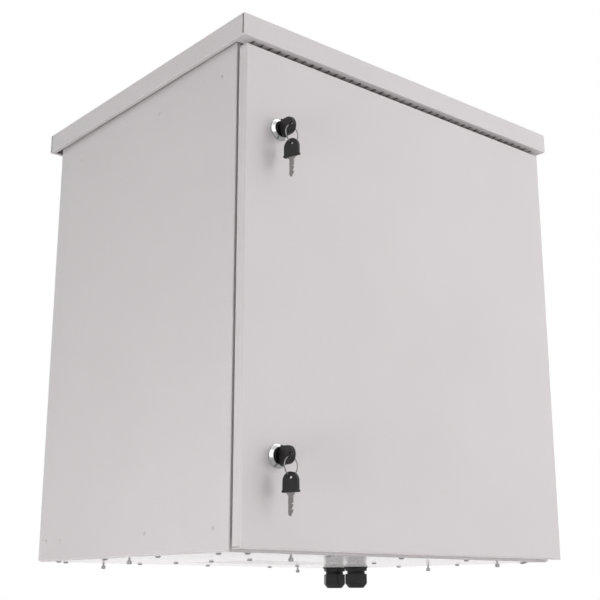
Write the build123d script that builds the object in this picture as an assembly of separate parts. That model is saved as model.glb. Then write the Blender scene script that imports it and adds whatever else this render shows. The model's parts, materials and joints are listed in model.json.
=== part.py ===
from build123d import *
import math
import os

# Wall-hung outdoor cabinet for rack equipment, in millimetres.
# +Z is up and the door faces -Y. The origin is the centre of the four wall
# holes, on the plane where the rear mounting rails meet the wall.

# Body
body_width = 600.0
body_depth = 477.0
body_height = 665.0
sheet = 1.5
sheet_bend = 2.0
flange = 24.0
seam = 0.5
bottom_sheet = 1.2
bottom_inset = 3.0

# Wall mounting rails
rail_standoff = 20.0
wall_hole_side = 50.0
wall_hole_end = 102.5
wall_hole_r = 4.5
wall_rail_sheet = 2.0
wall_rail_web = 40.0
wall_rail_foot = 14.0
wall_rail_inset = 30.0

# Roof hood
hood_side = 11.2
hood_front = 30.7
hood_back = 19.6
hood_drop = 9.3
hood_height = 31.5
hood_bend = 1.6
hood_lip = 6.5
hood_front_lip = 24.2
hood_corner_slit = 2.0
hood_slot_count = 40
hood_slot_end = 13.0
hood_slot_width = 3.6
hood_slot_length = 14.0
hood_slot_setback = 8.7
standoff_r = 6.0
standoff_inset = 60.0
hood_screw_r = 3.0

# Door
door_gap = 5.2
door_depth = 17.8
door_lift = 2.1
door_drop = 15.5
door_return = 10.0
door_seam = 0.6
frame_reveal = 26.0
rain_lip = 13.0
gasket_width = 12.0
gasket_relief = 0.3
stiffener_width = 60.0
stiffener_foot = 14.0
stiffener_height = 7.6
stiffener_end = 42.0

# Hinges
hinge_inset = 10.0
hinge_from_end = 75.0
hinge_pin_r = 2.0
hinge_clearance = 0.1
hinge_knuckle_r = 4.0
hinge_knuckle = 15.0
hinge_end_knuckle = 10.0
hinge_gap = 0.4
hinge_leaf = 2.0
hinge_notch_gap = 1.5
hinge_leaf_margin = 1.0
hinge_door_leaf_half = 6.0
hinge_screw_r = 2.0
hinge_screw_inset = 3.2
hinge_screw_offset = 14.0
hinge_screw_head_r = 3.0
hinge_screw_head = 1.2

# Cam locks
lock_inset = 55.5
lock_from_bottom = 110.8
lock_from_top = 108.7
bezel_r = 15.2
bezel_front_r = 12.9
bezel_height = 4.2
lock_thread_r = 11.0
lock_nut_across = 27.0
lock_nut_height = 4.0
plug_face_r = 10.2
plug_face = 3.7
plug_recess = 0.5
plug_r = 7.5
plug_clearance = 0.15
cam_gap = 0.7
cam_thickness = 3.0
cam_reach = 42.0
cam_width = 18.0
cam_square = 8.0
lock_turn = {"upper": 10.0, "lower": 0.0}

# Keys and rings
key_width = 22.6
key_length = 24.7
key_ears = 25.4
key_ear_height = 3.2
key_thickness = 4.2
key_edge = 0.8
key_hole_half = 3.5
key_hole_top = 2.3
key_hole_base = 8.0
key_hole_corner = 0.7
blade_width = 7.0
blade_thickness = 1.8
blade_length = 25.5
blade_collar = 2.1
blade_collar_width = 11.0
blade_tooth = 1.6
blade_tang = 8.0
key_clearance = 0.2
ring_r = 12.1
ring_wire_r = 0.8
ring_turn = 8.0
ring_slack = {"upper": 0.75, "lower": 0.55}
spare_slack = 0.45
spare_key_turn = 77.0

# Equipment rails
channel_height = 25.0
channel_lift = 27.5
channel_drop = 44.5
channel_end = 6.0
rivets_from_front = (33.0, 185.0)
rivets_from_back = (64.0, 22.0)
rivet_r = 2.0
rivet_head_r = 2.8
rivet_head = 0.9
rack_side_space = 75.0
rack_hole_inset = 7.55
rack_unit = 44.45
rack_holes = (6.35, 22.225, 38.1)
rack_hole = 9.5
rack_sheet = 2.0
rack_flange = 28.5
rack_web = 32.0
rack_foot_gap = 15.0
front_rack_setback = 60.0
rear_rack_setback = 77.0
rail_bolt_r = 3.0

# Bottom: screws, slots, filter and cable glands
bottom_screw_inset = 14.0
bottom_screw_end = 39.0
bottom_screws_across = 5
bottom_screws_deep = 4
screw_r = 2.0
pan_head_r = 3.6
pan_head = 1.8
captive_inset = 105.0
captive_edge = 12.0
captive_neck_r = 1.7
captive_head_r = 3.2
captive_drop = 4.0
captive_head = 4.6
slot_columns = 19
slot_rows = 3
slot_pitch = 11.6
slot_length = 48.0
slot_width = 4.0
slot_row_gap = 6.0
vent_setback = 285.0
tray_margin = 8.0
tray_lip = 12.0
tray_sheet = 1.0
tray_height = 12.0
filter_gap = 0.5
gland_inset = 50.0
gland_from_back = 47.7
gland_pitch = 55.8
gland_thread_r = 16.0
gland_hole_gap = 0.25
gland_bore_r = 12.5
gland_across = 34.2
gland_flange = 6.6
gland_flare = 3.0
gland_flare_r = 21.0
gland_neck = 5.0
gland_nut_height = 23.4
gland_end_r = 12.6
gland_taper = 42.0
gland_mouth_r = 11.0
gland_tube_r = 15.5
gland_locknut = 6.0
cable_r = 9.0
seal_length = 16.0

# Places worked out from the sizes above
door_height = body_height - door_lift - door_drop
wall_hole_x = body_width - 2 * wall_hole_side
wall_hole_z = body_height - 2 * wall_hole_end
wall_rail_length = body_width - 2 * wall_rail_inset
half_width = body_width / 2
inner_x = half_width - sheet
flange_x = half_width - flange
back_y = -rail_standoff - sheet
wall_face_y = back_y + sheet
front_y = wall_face_y - body_depth
floor_z = -body_height / 2
top_z = body_height / 2
door_back_y = front_y - door_gap
door_front_y = door_back_y - door_depth
door_bottom_z = floor_z + door_lift
door_top_z = door_bottom_z + door_height
door_mid_z = (door_bottom_z + door_top_z) / 2
frame_back_y = front_y + 2 * sheet
channel_low_z = floor_z + channel_lift
channel_high_z = top_z - channel_drop
rack_opening = body_width - 2 * rack_side_space
rack_hole_x = rack_opening / 2 + rack_hole_inset
rack_web_x = rack_opening / 2 + rack_flange
rack_foot = inner_x - rack_web_x - rack_foot_gap
rack_low_z = channel_low_z + channel_height / 2
rack_high_z = channel_high_z - channel_height / 2
rack_units = int((rack_high_z - rack_low_z - 2 * rack_sheet) / rack_unit)
rack_ys = {"front": front_y + front_rack_setback, "rear": wall_face_y - rear_rack_setback}
hinge_x = half_width - hinge_inset
hinge_y = door_back_y - door_depth / 2
lock_x = -half_width + lock_inset
vent_y = front_y + vent_setback
slot_field_x = (slot_columns - 1) * slot_pitch + slot_width
slot_field_y = slot_rows * slot_length + (slot_rows - 1) * slot_row_gap


def block(xs, ys, zs):
    """A box between two corners, each axis given as (low, high) in any order."""
    size = [abs(b - a) for a, b in (xs, ys, zs)]
    centre = [(a + b) / 2 for a, b in (xs, ys, zs)]
    return Pos(*centre) * Box(*size)


def rod(centre, radius, axis, length):
    """A cylinder starting at centre and running length along +X, +Y or +Z."""
    turn = {"x": Rot(0, 90, 0), "y": Rot(-90, 0, 0), "z": Rot(0, 0, 0)}[axis]
    along = Align.MIN if length > 0 else Align.MAX
    solid = Cylinder(radius, abs(length), align=(Align.CENTER, Align.CENTER, along))
    return Pos(*centre) * turn * solid


def facing(sketch, y_front, thickness):
    """A sketch drawn in X and Z, given thickness from y_front towards +Y."""
    return Pos(0, y_front + thickness, 0) * Rot(90, 0, 0) * extrude(sketch, thickness)


def cut_all(solid, tools):
    for tool in tools:
        solid = solid - tool
    return solid


def side_panel(side):
    """Folded side sheet with a flange on all four edges."""
    outer = block((side * half_width, side * flange_x), (front_y, wall_face_y), (floor_z, top_z))
    skin = outer.faces().sort_by(Axis.X)[0 if side < 0 else -1]
    outer = fillet(skin.edges(), sheet_bend)
    hollow = block(
        (side * inner_x, side * (flange_x - 1)),
        (front_y + sheet, wall_face_y - sheet),
        (floor_z + sheet, top_z - sheet),
    )
    panel = outer - hollow
    holes = [
        rod((side * (half_width + 1), y, z), rivet_r, "x", -side * 4 * sheet)
        for y, z in channel_rivet_places()
    ]
    holes += [rod((side * (half_width - x), y, floor_z - 1), r, "z", 2 + sheet)
              for x, y, r in bottom_fixings() if x < flange]
    panel = cut_all(panel, holes)
    return hinge_screw_holes(panel) if side > 0 else panel


def channel_rivet_places():
    rows = [front_y + setback for setback in rivets_from_front]
    rows += [wall_face_y - setback for setback in rivets_from_back]
    return [(y, z) for z in (channel_low_z, channel_high_z) for y in rows]


def spread(low, high, count):
    return [low + (high - low) * i / (count - 1) for i in range(count)]


def perimeter_screw_places():
    """Pan-head screws round the bottom panel: two cross rows and two side rows."""
    end_x = half_width - bottom_screw_end
    row_x = half_width - bottom_screw_inset
    row_ys = (front_y + bottom_screw_inset, wall_face_y - bottom_screw_inset)
    end_ys = (front_y + bottom_screw_end, wall_face_y - bottom_screw_end)
    places = [(x, y) for y in row_ys for x in spread(-end_x, end_x, bottom_screws_across)]
    places += [(x, y) for x in (-row_x, row_x) for y in spread(*end_ys, bottom_screws_deep)]
    return places


def captive_screw_places():
    mid_y = (front_y + wall_face_y) / 2
    ys = (front_y + captive_edge, wall_face_y - captive_edge)
    places = [(x, y) for y in ys for x in (captive_inset - half_width, half_width - captive_inset)]
    return places + [(x, mid_y) for x in (captive_edge - half_width, half_width - captive_edge)]


def tray_screw_places():
    x = slot_field_x / 2 + tray_margin + tray_lip / 2
    y = slot_field_y / 2 + tray_margin + tray_lip / 2
    return [(sx, vent_y + sy) for sx in (-x, x) for sy in (-y, 0, y)]


def bottom_fixings():
    """Distance from the near side, Y and hole radius of each screw through a side flange."""
    sides = [(half_width - abs(x), y, screw_r) for x, y in perimeter_screw_places()]
    return sides + [(half_width - abs(x), y, captive_neck_r) for x, y in captive_screw_places()]


def flange_screw_holes(solid):
    """Cuts the bottom screws' holes into a cross flange at the body's floor."""
    tools = [rod((x, y, floor_z - 1), screw_r, "z", 2 + sheet) for x, y in perimeter_screw_places()]
    tools += [rod((x, y, floor_z - 1), captive_neck_r, "z", 2 + sheet)
              for x, y in captive_screw_places()]
    return cut_all(solid, tools)


def rear_panel():
    cross_x = flange_x - seam
    plate = block((-inner_x, inner_x), (back_y - sheet, back_y), (floor_z + sheet, top_z - sheet))
    plate += block((-cross_x, cross_x), (back_y - sheet, back_y), (floor_z, top_z))
    for z in (floor_z, top_z - sheet):
        plate += block((-cross_x, cross_x), (wall_face_y - flange, back_y), (z, z + sheet))
    tools = [rod((x, back_y - 2 * sheet, z), wall_hole_r, "y", 4 * sheet) for x, z in wall_holes()]
    tools += [rod((x, back_y - 2 * sheet, z), rivet_r, "y", 4 * sheet)
              for x, z in wall_rail_rivet_places()]
    return flange_screw_holes(cut_all(plate, tools))


def wall_holes():
    return [(sx * wall_hole_x / 2, sz * wall_hole_z / 2) for sx in (-1, 1) for sz in (-1, 1)]


def wall_rail_rivet_places():
    x = wall_rail_length / 2 - wall_rail_foot
    offset = wall_rail_web / 2 + wall_rail_foot / 2
    return [(sx * x, sz * wall_hole_z / 2 + so * offset)
            for sx in (-1, 1) for sz in (-1, 1) for so in (-1, 1)]


def wall_rail(level):
    """Hat section: web on the wall, two legs, two feet on the rear panel."""
    half_web = wall_rail_web / 2
    outline = Polyline(
        (back_y, half_web + wall_rail_foot), (back_y, half_web - wall_rail_sheet),
        (-wall_rail_sheet, half_web - wall_rail_sheet),
        (-wall_rail_sheet, wall_rail_sheet - half_web),
        (back_y, wall_rail_sheet - half_web), (back_y, -half_web - wall_rail_foot),
        (back_y + wall_rail_sheet, -half_web - wall_rail_foot),
        (back_y + wall_rail_sheet, -half_web), (0, -half_web), (0, half_web),
        (back_y + wall_rail_sheet, half_web),
        (back_y + wall_rail_sheet, half_web + wall_rail_foot),
        (back_y, half_web + wall_rail_foot),
    )
    profile = Plane.YZ * make_face(outline)
    rail = Pos(-wall_rail_length / 2, 0, level) * extrude(profile, wall_rail_length)
    tools = [rod((x, -2 * wall_rail_sheet, z), wall_hole_r, "y", 3 * wall_rail_sheet)
             for x, z in wall_holes()]
    tools += [rod((x, back_y - 1, z), rivet_r, "y", 2 + wall_rail_sheet)
              for x, z in wall_rail_rivet_places()]
    return cut_all(rail, tools)


def rivet(grip):
    """A set blind rivet along +Z: a domed head below zero, the tail above the grip."""
    head = Cylinder(rivet_head_r, rivet_head, align=(Align.CENTER, Align.CENTER, Align.MAX))
    head = fillet(head.faces().sort_by(Axis.Z)[0].edges(), rivet_head * 0.6)
    shank = Cylinder(rivet_r - 0.05, grip, align=(Align.CENTER, Align.CENTER, Align.MIN))
    tail = Pos(0, 0, grip) * Cylinder(
        rivet_head_r, 2 * rivet_head, align=(Align.CENTER, Align.CENTER, Align.MIN))
    return head + shank + tail


def mounting_rail_rivets():
    grip = wall_rail_sheet + sheet
    single = rivet(grip)
    places = wall_rail_rivet_places()
    return [Pos(x, back_y - sheet, z) * Rot(-90, 0, 0) * single for x, z in places]


def channel_rivets():
    single = rivet(2 * sheet)
    found = []
    for side in (-1, 1):
        for y, z in channel_rivet_places():
            found.append(Pos(side * half_width, y, z) * Rot(0, -90 * side, 0) * single)
    return found


def vent_slots(z, depth):
    """Rows of slots that run front to back, cut downwards from z by depth."""
    tools = []
    row_pitch = slot_length + slot_row_gap
    for loc in GridLocations(slot_pitch, row_pitch, slot_columns, slot_rows):
        x, y, _ = tuple(loc.position)
        xs = (x - slot_width / 2, x + slot_width / 2)
        ys = (vent_y + y - slot_length / 2, vent_y + y + slot_length / 2)
        tools.append(block(xs, ys, (z - depth, z)))
    return tools


def top_panel():
    plate = block((-inner_x, inner_x), (frame_back_y, back_y - sheet),
                  (top_z - 2 * sheet, top_z - sheet))
    tools = vent_slots(top_z, 4 * sheet)
    tools += [rod((x, y, top_z - 3 * sheet), hood_screw_r + seam, "z", 3 * sheet)
              for x, y in standoff_places()]
    return cut_all(plate, tools)


def bottom_panel():
    edge_x = half_width - bottom_inset
    ys = (front_y + bottom_inset, wall_face_y - bottom_inset)
    plate = block((-edge_x, edge_x), ys, (floor_z - bottom_sheet, floor_z))
    tools = vent_slots(floor_z + 1, 2 + bottom_sheet)
    reach = 2 + bottom_sheet
    for x, y in perimeter_screw_places() + tray_screw_places():
        tools.append(rod((x, y, floor_z + 1), screw_r, "z", -reach))
    for x, y in captive_screw_places():
        tools.append(rod((x, y, floor_z + 1), captive_neck_r, "z", -reach))
    for x, y in gland_places().values():
        tools.append(rod((x, y, floor_z + 1), gland_thread_r + gland_hole_gap, "z", -reach))
    return cut_all(plate, tools)


def front_frame():
    """Flanged ring behind the side panels' front flanges, with the rain lip that enters the door."""
    ring_height = door_height - 2 * frame_reveal
    opening = Pos(0, door_mid_z) * Rectangle(body_width - 2 * frame_reveal, ring_height)
    wall = Pos(0, door_mid_z) * Rectangle(
        body_width - 2 * frame_reveal - 2 * sheet, ring_height - 2 * sheet)
    face = Rectangle(2 * inner_x, body_height - 2 * sheet) - wall
    frame = facing(face, front_y + sheet, sheet)
    frame += facing(opening - wall, front_y - rain_lip, rain_lip + 2 * sheet)
    cross_x = flange_x - seam
    for z in (floor_z, top_z - sheet):
        frame += block((-cross_x, cross_x), (front_y + sheet, front_y + flange), (z, z + sheet))
    bottom_edge = frame.edges().filter_by(Axis.X).filter_by_position(
        Axis.Z, floor_z - 0.01, floor_z + 0.01).filter_by_position(
        Axis.Y, front_y + sheet - 0.01, front_y + sheet + 0.01)
    frame = fillet(bottom_edge, sheet * 0.8)
    return hinge_screw_holes(flange_screw_holes(frame))


def standoff_places():
    xs = (standoff_inset - half_width, half_width - standoff_inset)
    ys = (front_y + standoff_inset, wall_face_y - standoff_inset)
    return [(x, y) for x in xs for y in ys]


def roof_hood():
    """One folded sheet: flat top, skirts with open corners, and lips that turn in under the eaves."""
    xs = (-half_width - hood_side, half_width + hood_side)
    ys = (front_y - hood_front, wall_face_y + hood_back)
    z0 = top_z - hood_drop
    z1 = z0 + hood_height
    hood = block(xs, ys, (z0, z1))
    hood = fillet(hood.faces().sort_by(Axis.Z)[-1].edges(), hood_bend)
    hood = fillet(hood.faces().sort_by(Axis.Z)[0].edges(), hood_bend)
    hood -= block(*((low + sheet, high - sheet) for low, high in (xs, ys, (z0, z1))))
    hood -= block(
        (xs[0] + hood_lip, xs[1] - hood_lip),
        (ys[0] + hood_front_lip, ys[1] - hood_lip),
        (z0 - 1, z0 + 2 * sheet),
    )
    slit_z = (z0 + hood_bend, z1 - hood_bend)
    slit_ys = (
        (ys[0] + sheet, ys[0] + sheet + hood_corner_slit),
        (ys[1] - sheet - hood_corner_slit, ys[1] - sheet),
    )
    for slit in slit_ys:
        hood -= block((xs[0] - 1, xs[0] + sheet), slit, slit_z)
        hood -= block((xs[1] - sheet, xs[1] + 1), slit, slit_z)
    slot_y = ys[0] + hood_slot_setback + hood_slot_length / 2
    slot = Pos(0, slot_y, z0 - 1) * extrude(
        SlotOverall(hood_slot_length, hood_slot_width, rotation=90), 1 + 2 * sheet)
    end = half_width - hood_slot_end
    return cut_all(hood, [Pos(x, 0, 0) * slot for x in spread(-end, end, hood_slot_count)])


def hood_fixings():
    """Four threaded standoffs between body and hood, each with its screw from inside."""
    low = top_z - sheet
    high = top_z - hood_drop + hood_height - sheet
    found = []
    for x, y in standoff_places():
        post = rod((x, y, low), standoff_r, "z", high - low)
        post -= rod((x, y, low), hood_screw_r + 0.1, "z", (high - low) * 0.6)
        found.append(post)
        screw = rod((x, y, low - sheet), 5.0, "z", -4.0)
        screw += rod((x, y, low - sheet), hood_screw_r, "z", sheet + (high - low) * 0.5)
        found.append(screw)
    return found


def depth_channel(side, middle_z):
    """Channel along the side panel that carries the upright rack rails."""
    z0 = middle_z - channel_height / 2
    z1 = middle_z + channel_height / 2
    ys = (frame_back_y + channel_end, back_y - sheet - channel_end)
    reach = rack_web_x
    channel = block((side * inner_x, side * reach), ys, (z0, z1))
    channel -= block((side * (inner_x - sheet), side * (reach - 1)), ys, (z0 + sheet, z1 - sheet))
    tools = [rod((side * (inner_x + 1), y, z), rivet_r, "x", -side * 3 * sheet)
             for y, z in channel_rivet_places()]
    for y0 in rack_ys.values():
        y = y0 + rack_web / 2
        x = side * rail_bolt_x()
        slot = block((x - rail_bolt_r - 0.3, x + rail_bolt_r + 0.3), (y - 14, y + 14), (z0 - 1, z1 + 1))
        tools.append(slot)
    return cut_all(channel, tools)


def rail_bolt_x():
    return rack_web_x + rack_foot / 2


def rack_rail(side, y0):
    """Upright with a punched face for equipment, a web and a foot at each end."""
    z0 = rack_low_z
    z1 = rack_high_z
    face_x = rack_opening / 2
    web_x = rack_web_x
    rail = block((side * face_x, side * web_x), (y0, y0 + rack_sheet), (z0, z1))
    rail += block((side * (web_x - rack_sheet), side * web_x), (y0, y0 + rack_web), (z0, z1))
    for z in (z0, z1 - rack_sheet):
        rail += block((side * (web_x - rack_sheet), side * (web_x + rack_foot)),
                      (y0 + rack_sheet, y0 + rack_web), (z, z + rack_sheet))
    first = (z0 + z1) / 2 - rack_units * rack_unit / 2
    x = side * rack_hole_x
    half = rack_hole / 2
    tools = []
    for unit in range(rack_units):
        for offset in rack_holes:
            z = first + unit * rack_unit + offset
            tools.append(block((x - half, x + half), (y0 - 1, y0 + rack_sheet + 1), (z - half, z + half)))
    bolt_y = y0 + rack_web / 2
    tools.append(rod((side * rail_bolt_x(), bolt_y, z0 - 1), rail_bolt_r + 0.3, "z", z1 - z0 + 2))
    return cut_all(rail, tools)


def hexagon(across, height):
    return extrude(RegularPolygon(across / 2, 6, major_radius=False), height)


def rail_fasteners():
    """A bolt and a nut at each end of each rack rail."""
    found = []
    low = rack_low_z
    high = rack_high_z
    grip = sheet + rack_sheet
    bolt = hexagon(10.0, 4.0) + rod((0, 0, 0), rail_bolt_r, "z", -grip - 6)
    nut = Pos(0, 0, -grip - 5) * hexagon(10.0, 5.0) - rod((0, 0, 0), rail_bolt_r + 0.05, "z", -grip - 6)
    for side in (-1, 1):
        for y0 in rack_ys.values():
            x = side * rail_bolt_x()
            y = y0 + rack_web / 2
            for piece in (bolt, nut):
                found.append(Pos(x, y, low + rack_sheet) * piece)
                found.append(Pos(x, y, high - rack_sheet) * Rot(180, 0, 0) * piece)
    return found


def bottom_panel_screws():
    """Pan-head screws driven upwards, heads under the bottom panel."""
    found = []
    head = Cylinder(pan_head_r, pan_head, align=(Align.CENTER, Align.CENTER, Align.MAX))
    head = fillet(head.faces().sort_by(Axis.Z)[0].edges(), pan_head * 0.6)
    screw = head + rod((0, 0, 0), screw_r - 0.1, "z", bottom_sheet + sheet + 5)
    for x, y in perimeter_screw_places() + tray_screw_places():
        found.append(Pos(x, y, floor_z - bottom_sheet) * screw)
    return found


def captive_screws():
    """Thumb screws that stay in the bottom panel when they are slack: neck, then rounded head."""
    head = Pos(0, 0, -captive_drop) * Cylinder(
        captive_head_r, captive_head, align=(Align.CENTER, Align.CENTER, Align.MAX))
    head = fillet(head.edges().filter_by(GeomType.CIRCLE), captive_head_r * 0.4)
    neck = rod((0, 0, -captive_drop - 1), captive_neck_r - 0.1, "z",
               captive_drop + 1 + bottom_sheet + sheet + 2)
    collar = Pos(0, 0, bottom_sheet + sheet) * Cylinder(
        captive_neck_r + 1, 1.5, align=(Align.CENTER, Align.CENTER, Align.MIN))
    screw = head + neck + collar
    return [Pos(x, y, floor_z - bottom_sheet) * screw for x, y in captive_screw_places()]


def filter_tray():
    half_x = slot_field_x / 2 + tray_margin
    half_y = slot_field_y / 2 + tray_margin
    z0 = floor_z
    base = block((-half_x - tray_lip, half_x + tray_lip),
                 (vent_y - half_y - tray_lip, vent_y + half_y + tray_lip), (z0, z0 + tray_sheet))
    walls = block((-half_x, half_x), (vent_y - half_y, vent_y + half_y), (z0, z0 + tray_height))
    inside = block((tray_sheet - half_x, half_x - tray_sheet),
                   (vent_y - half_y + tray_sheet, vent_y + half_y - tray_sheet),
                   (z0 + tray_sheet, z0 + tray_height + 1))
    window = block((-slot_field_x / 2 - 1, slot_field_x / 2 + 1),
                   (vent_y - slot_field_y / 2 - 1, vent_y + slot_field_y / 2 + 1),
                   (z0 - 1, z0 + 2 * tray_sheet))
    tray = base + walls - inside - window
    return cut_all(tray, [rod((x, y, z0 - 1), screw_r, "z", 2 + tray_sheet)
                          for x, y in tray_screw_places()])


def filter_mat():
    half_x = slot_field_x / 2 + tray_margin - tray_sheet - filter_gap
    half_y = slot_field_y / 2 + tray_margin - tray_sheet - filter_gap
    return block((-half_x, half_x), (vent_y - half_y, vent_y + half_y),
                 (floor_z + tray_sheet, floor_z + tray_height - 1))


def gland_places():
    rear = wall_face_y - gland_from_back
    x = half_width - gland_inset
    return {"front": (x, rear - gland_pitch), "rear": (x, rear)}


def gland_levels():
    """Heights of a gland's faces under the bottom panel, from the top down."""
    seat = floor_z - bottom_sheet
    hex_end = seat - gland_flange
    nut_top = hex_end - gland_neck
    return seat, hex_end, nut_top, nut_top - gland_nut_height


def gland_body(x, y):
    seat, hex_end, nut_top, nut_end = gland_levels()
    body = Pos(x, y, hex_end) * hexagon(gland_across, gland_flange)
    body += Pos(x, y, seat - gland_flare) * Cone(
        gland_across / 2, gland_flare_r, gland_flare, align=(Align.CENTER, Align.CENTER, Align.MIN))
    body += rod((x, y, seat), gland_thread_r, "z", bottom_sheet + gland_locknut + 3)
    body += rod((x, y, hex_end), gland_tube_r, "z", nut_end + 9 - hex_end)
    return body - rod((x, y, seat + 20), gland_bore_r, "z", nut_end - seat - 20)


def gland_dome_nut(x, y):
    """Faceted nut with a tapered end, hollow over the body's tube."""
    _, _, nut_top, nut_end = gland_levels()
    blank = Pos(x, y, nut_end) * hexagon(gland_across, gland_nut_height)
    wide_r = gland_end_r + gland_nut_height * math.tan(math.radians(gland_taper))
    taper = Pos(x, y, nut_end) * Cone(
        gland_end_r, wide_r, gland_nut_height, align=(Align.CENTER, Align.CENTER, Align.MIN))
    nut = blank & taper
    nut -= rod((x, y, nut_top), gland_tube_r + 0.15, "z", nut_end + 8.5 - nut_top)
    return nut - rod((x, y, nut_top), gland_mouth_r, "z", -gland_nut_height - 1)


def gland_seal(x, y):
    _, _, _, nut_end = gland_levels()
    start = nut_end + 9
    return rod((x, y, start), gland_bore_r - 0.05, "z", seal_length) - rod(
        (x, y, start - 1), cable_r, "z", seal_length + 2)


def gland_locknuts():
    found = []
    for x, y in gland_places().values():
        nut = Pos(x, y, floor_z) * hexagon(gland_across + 4, gland_locknut)
        found.append(nut - rod((x, y, floor_z - 1), gland_thread_r + 0.05, "z", gland_locknut + 2))
    return found


def earth_stud():
    y = wall_face_y - 70
    z = floor_z + 90
    stud = rod((-inner_x, y, z), 3.0, "x", 20)
    return stud + rod((-inner_x, y, z), 7.0, "x", 1.5)


def hinge_screw_places():
    x = flange_x + hinge_screw_inset
    levels = hinge_levels().values()
    return [(x, z + offset) for z in levels for offset in (-hinge_screw_offset, hinge_screw_offset)]


def hinge_screw_holes(solid):
    """Cuts the hinge screws' holes through the sheets behind the body leaves."""
    return cut_all(solid, [rod((x, front_y - hinge_leaf - 1, z), hinge_screw_r, "y", 10)
                           for x, z in hinge_screw_places()])


def hinge_levels():
    return {"upper": door_top_z - hinge_from_end, "lower": door_bottom_z + hinge_from_end}


def lock_levels():
    return {"upper": door_top_z - lock_from_top, "lower": door_bottom_z + lock_from_bottom}


def door_panel():
    """Folded pan: front skin, four side flanges and a narrow return behind them."""
    xs = (-half_width, half_width)
    ys = (door_front_y, door_back_y)
    zs = (door_bottom_z, door_top_z)
    pan = block(xs, ys, zs)
    pan = fillet(pan.faces().sort_by(Axis.Y)[0].edges(), sheet_bend)
    pan = fillet(pan.faces().sort_by(Axis.Y)[-1].edges(), sheet_bend)
    pan -= block(*((low + sheet, high - sheet) for low, high in (xs, ys, zs)))
    pan -= block((xs[0] + door_return, xs[1] - door_return), (ys[1] - 2 * sheet, ys[1] + 1),
                 (zs[0] + door_return, zs[1] - door_return))
    slit_y = (ys[0] + sheet_bend, ys[1] + 1)
    for side in (-1, 1):
        for z in (zs[0] + sheet, zs[1] - sheet - door_seam):
            pan -= block((side * (half_width + 1), side * inner_x), slit_y, (z, z + door_seam))
    notch = hinge_knuckle / 2 + hinge_notch_gap
    for z in hinge_levels().values():
        pan -= block((half_width - door_return - 1, half_width + 1),
                     (ys[0] + sheet_bend, ys[1] + 1), (z - notch, z + notch))
    for z in lock_levels().values():
        pan -= rod((lock_x, ys[0] - 1, z), lock_thread_r + 0.1, "y", 4 * sheet)
    return pan


def door_stiffener():
    """Upright hat channel welded to the back of the door skin."""
    y0 = door_front_y + sheet
    half = stiffener_width / 2
    zs = (door_bottom_z + stiffener_end, door_top_z - stiffener_end)
    crown = half - stiffener_foot
    hat = block((-half, half), (y0, y0 + sheet), zs)
    hat += block((-crown, crown), (y0, y0 + stiffener_height), zs)
    return hat - block((sheet - crown, crown - sheet), (y0 - 1, y0 + stiffener_height - sheet),
                       (zs[0] - 1, zs[1] + 1))


def door_gasket():
    """Foamed seal on the door skin, opposite the frame's rain lip."""
    lip_x = half_width - frame_reveal - sheet / 2
    lip_z = door_height / 2 - frame_reveal - sheet / 2
    half = gasket_width / 2
    outer = RectangleRounded(2 * (lip_x + half), 2 * (lip_z + half), half)
    inner = RectangleRounded(2 * (lip_x - half), 2 * (lip_z - half), half)
    y0 = door_front_y + sheet
    depth = front_y - rain_lip - gasket_relief - y0
    return facing(Pos(0, door_mid_z) * (outer - inner), y0, depth)


def hinge_body_leaf(z):
    """Leaf on the side panel's front flange, with an arm through the door's notch to the knuckle."""
    half = hinge_knuckle / 2
    leaf_x = (flange_x - hinge_leaf_margin, hinge_x - hinge_knuckle_r - seam)
    leaf = block(leaf_x, (front_y - hinge_leaf, front_y), (z - 20, z + 20))
    leaf += block((leaf_x[0], hinge_x + 2), (front_y - hinge_leaf, front_y), (z - half, z + half))
    leaf += block((hinge_x - 2, hinge_x + 2), (hinge_y, front_y), (z - half, z + half))
    leaf += rod((hinge_x, hinge_y, z - half), hinge_knuckle_r, "z", hinge_knuckle)
    leaf -= rod((hinge_x, hinge_y, z - half - 1), hinge_pin_r + hinge_clearance, "z", hinge_knuckle + 2)
    return hinge_screw_holes(leaf)


def hinge_door_leaf(z):
    """Leaf welded inside the door pan, with a knuckle above and below the body leaf's."""
    y0 = door_front_y + sheet
    low = hinge_knuckle / 2 + hinge_gap
    high = low + hinge_end_knuckle
    leaf = block((hinge_x - hinge_door_leaf_half, hinge_x + hinge_door_leaf_half),
                 (y0, y0 + hinge_leaf), (z - high - 1, z + high + 1))
    for zs in ((z + low, z + high), (z - high, z - low)):
        leaf += block((hinge_x - 2, hinge_x + 2), (y0, hinge_y), zs)
        leaf += rod((hinge_x, hinge_y, zs[0]), hinge_knuckle_r, "z", hinge_end_knuckle)
    return leaf - rod((hinge_x, hinge_y, z - high - 2), hinge_pin_r + hinge_clearance, "z", 2 * high + 4)


def hinge_pin(z):
    """Headed pin that hangs by its head on the door leaf's upper knuckle."""
    reach = hinge_knuckle / 2 + hinge_gap + hinge_end_knuckle
    pin = rod((hinge_x, hinge_y, z - reach - hinge_gap), hinge_pin_r, "z", 2 * reach + hinge_gap)
    return pin + rod((hinge_x, hinge_y, z + reach), hinge_pin_r + 1, "z", 1.5)


def hinge_screws():
    """Two screws through each body leaf, the side panel's flange and the frame."""
    found = []
    for x, z in hinge_screw_places():
        screw = rod((x, front_y - hinge_leaf, z), hinge_screw_head_r, "y", -hinge_screw_head)
        found.append(screw + rod((x, front_y - hinge_leaf, z), hinge_screw_r - 0.1, "y", 8))
    return found


def on_door(level):
    """Frame of a lock: local Z out of the door, local Y up, origin on the door's face.

    Each lock is turned a little in its round hole.
    """
    return Pos(lock_x, door_front_y, lock_levels()[level]) * Rot(90, 0, lock_turn[level])


def cam_front():
    """Local height of the cam's outer face, just behind the front frame."""
    return door_front_y - frame_back_y - cam_gap


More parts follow.
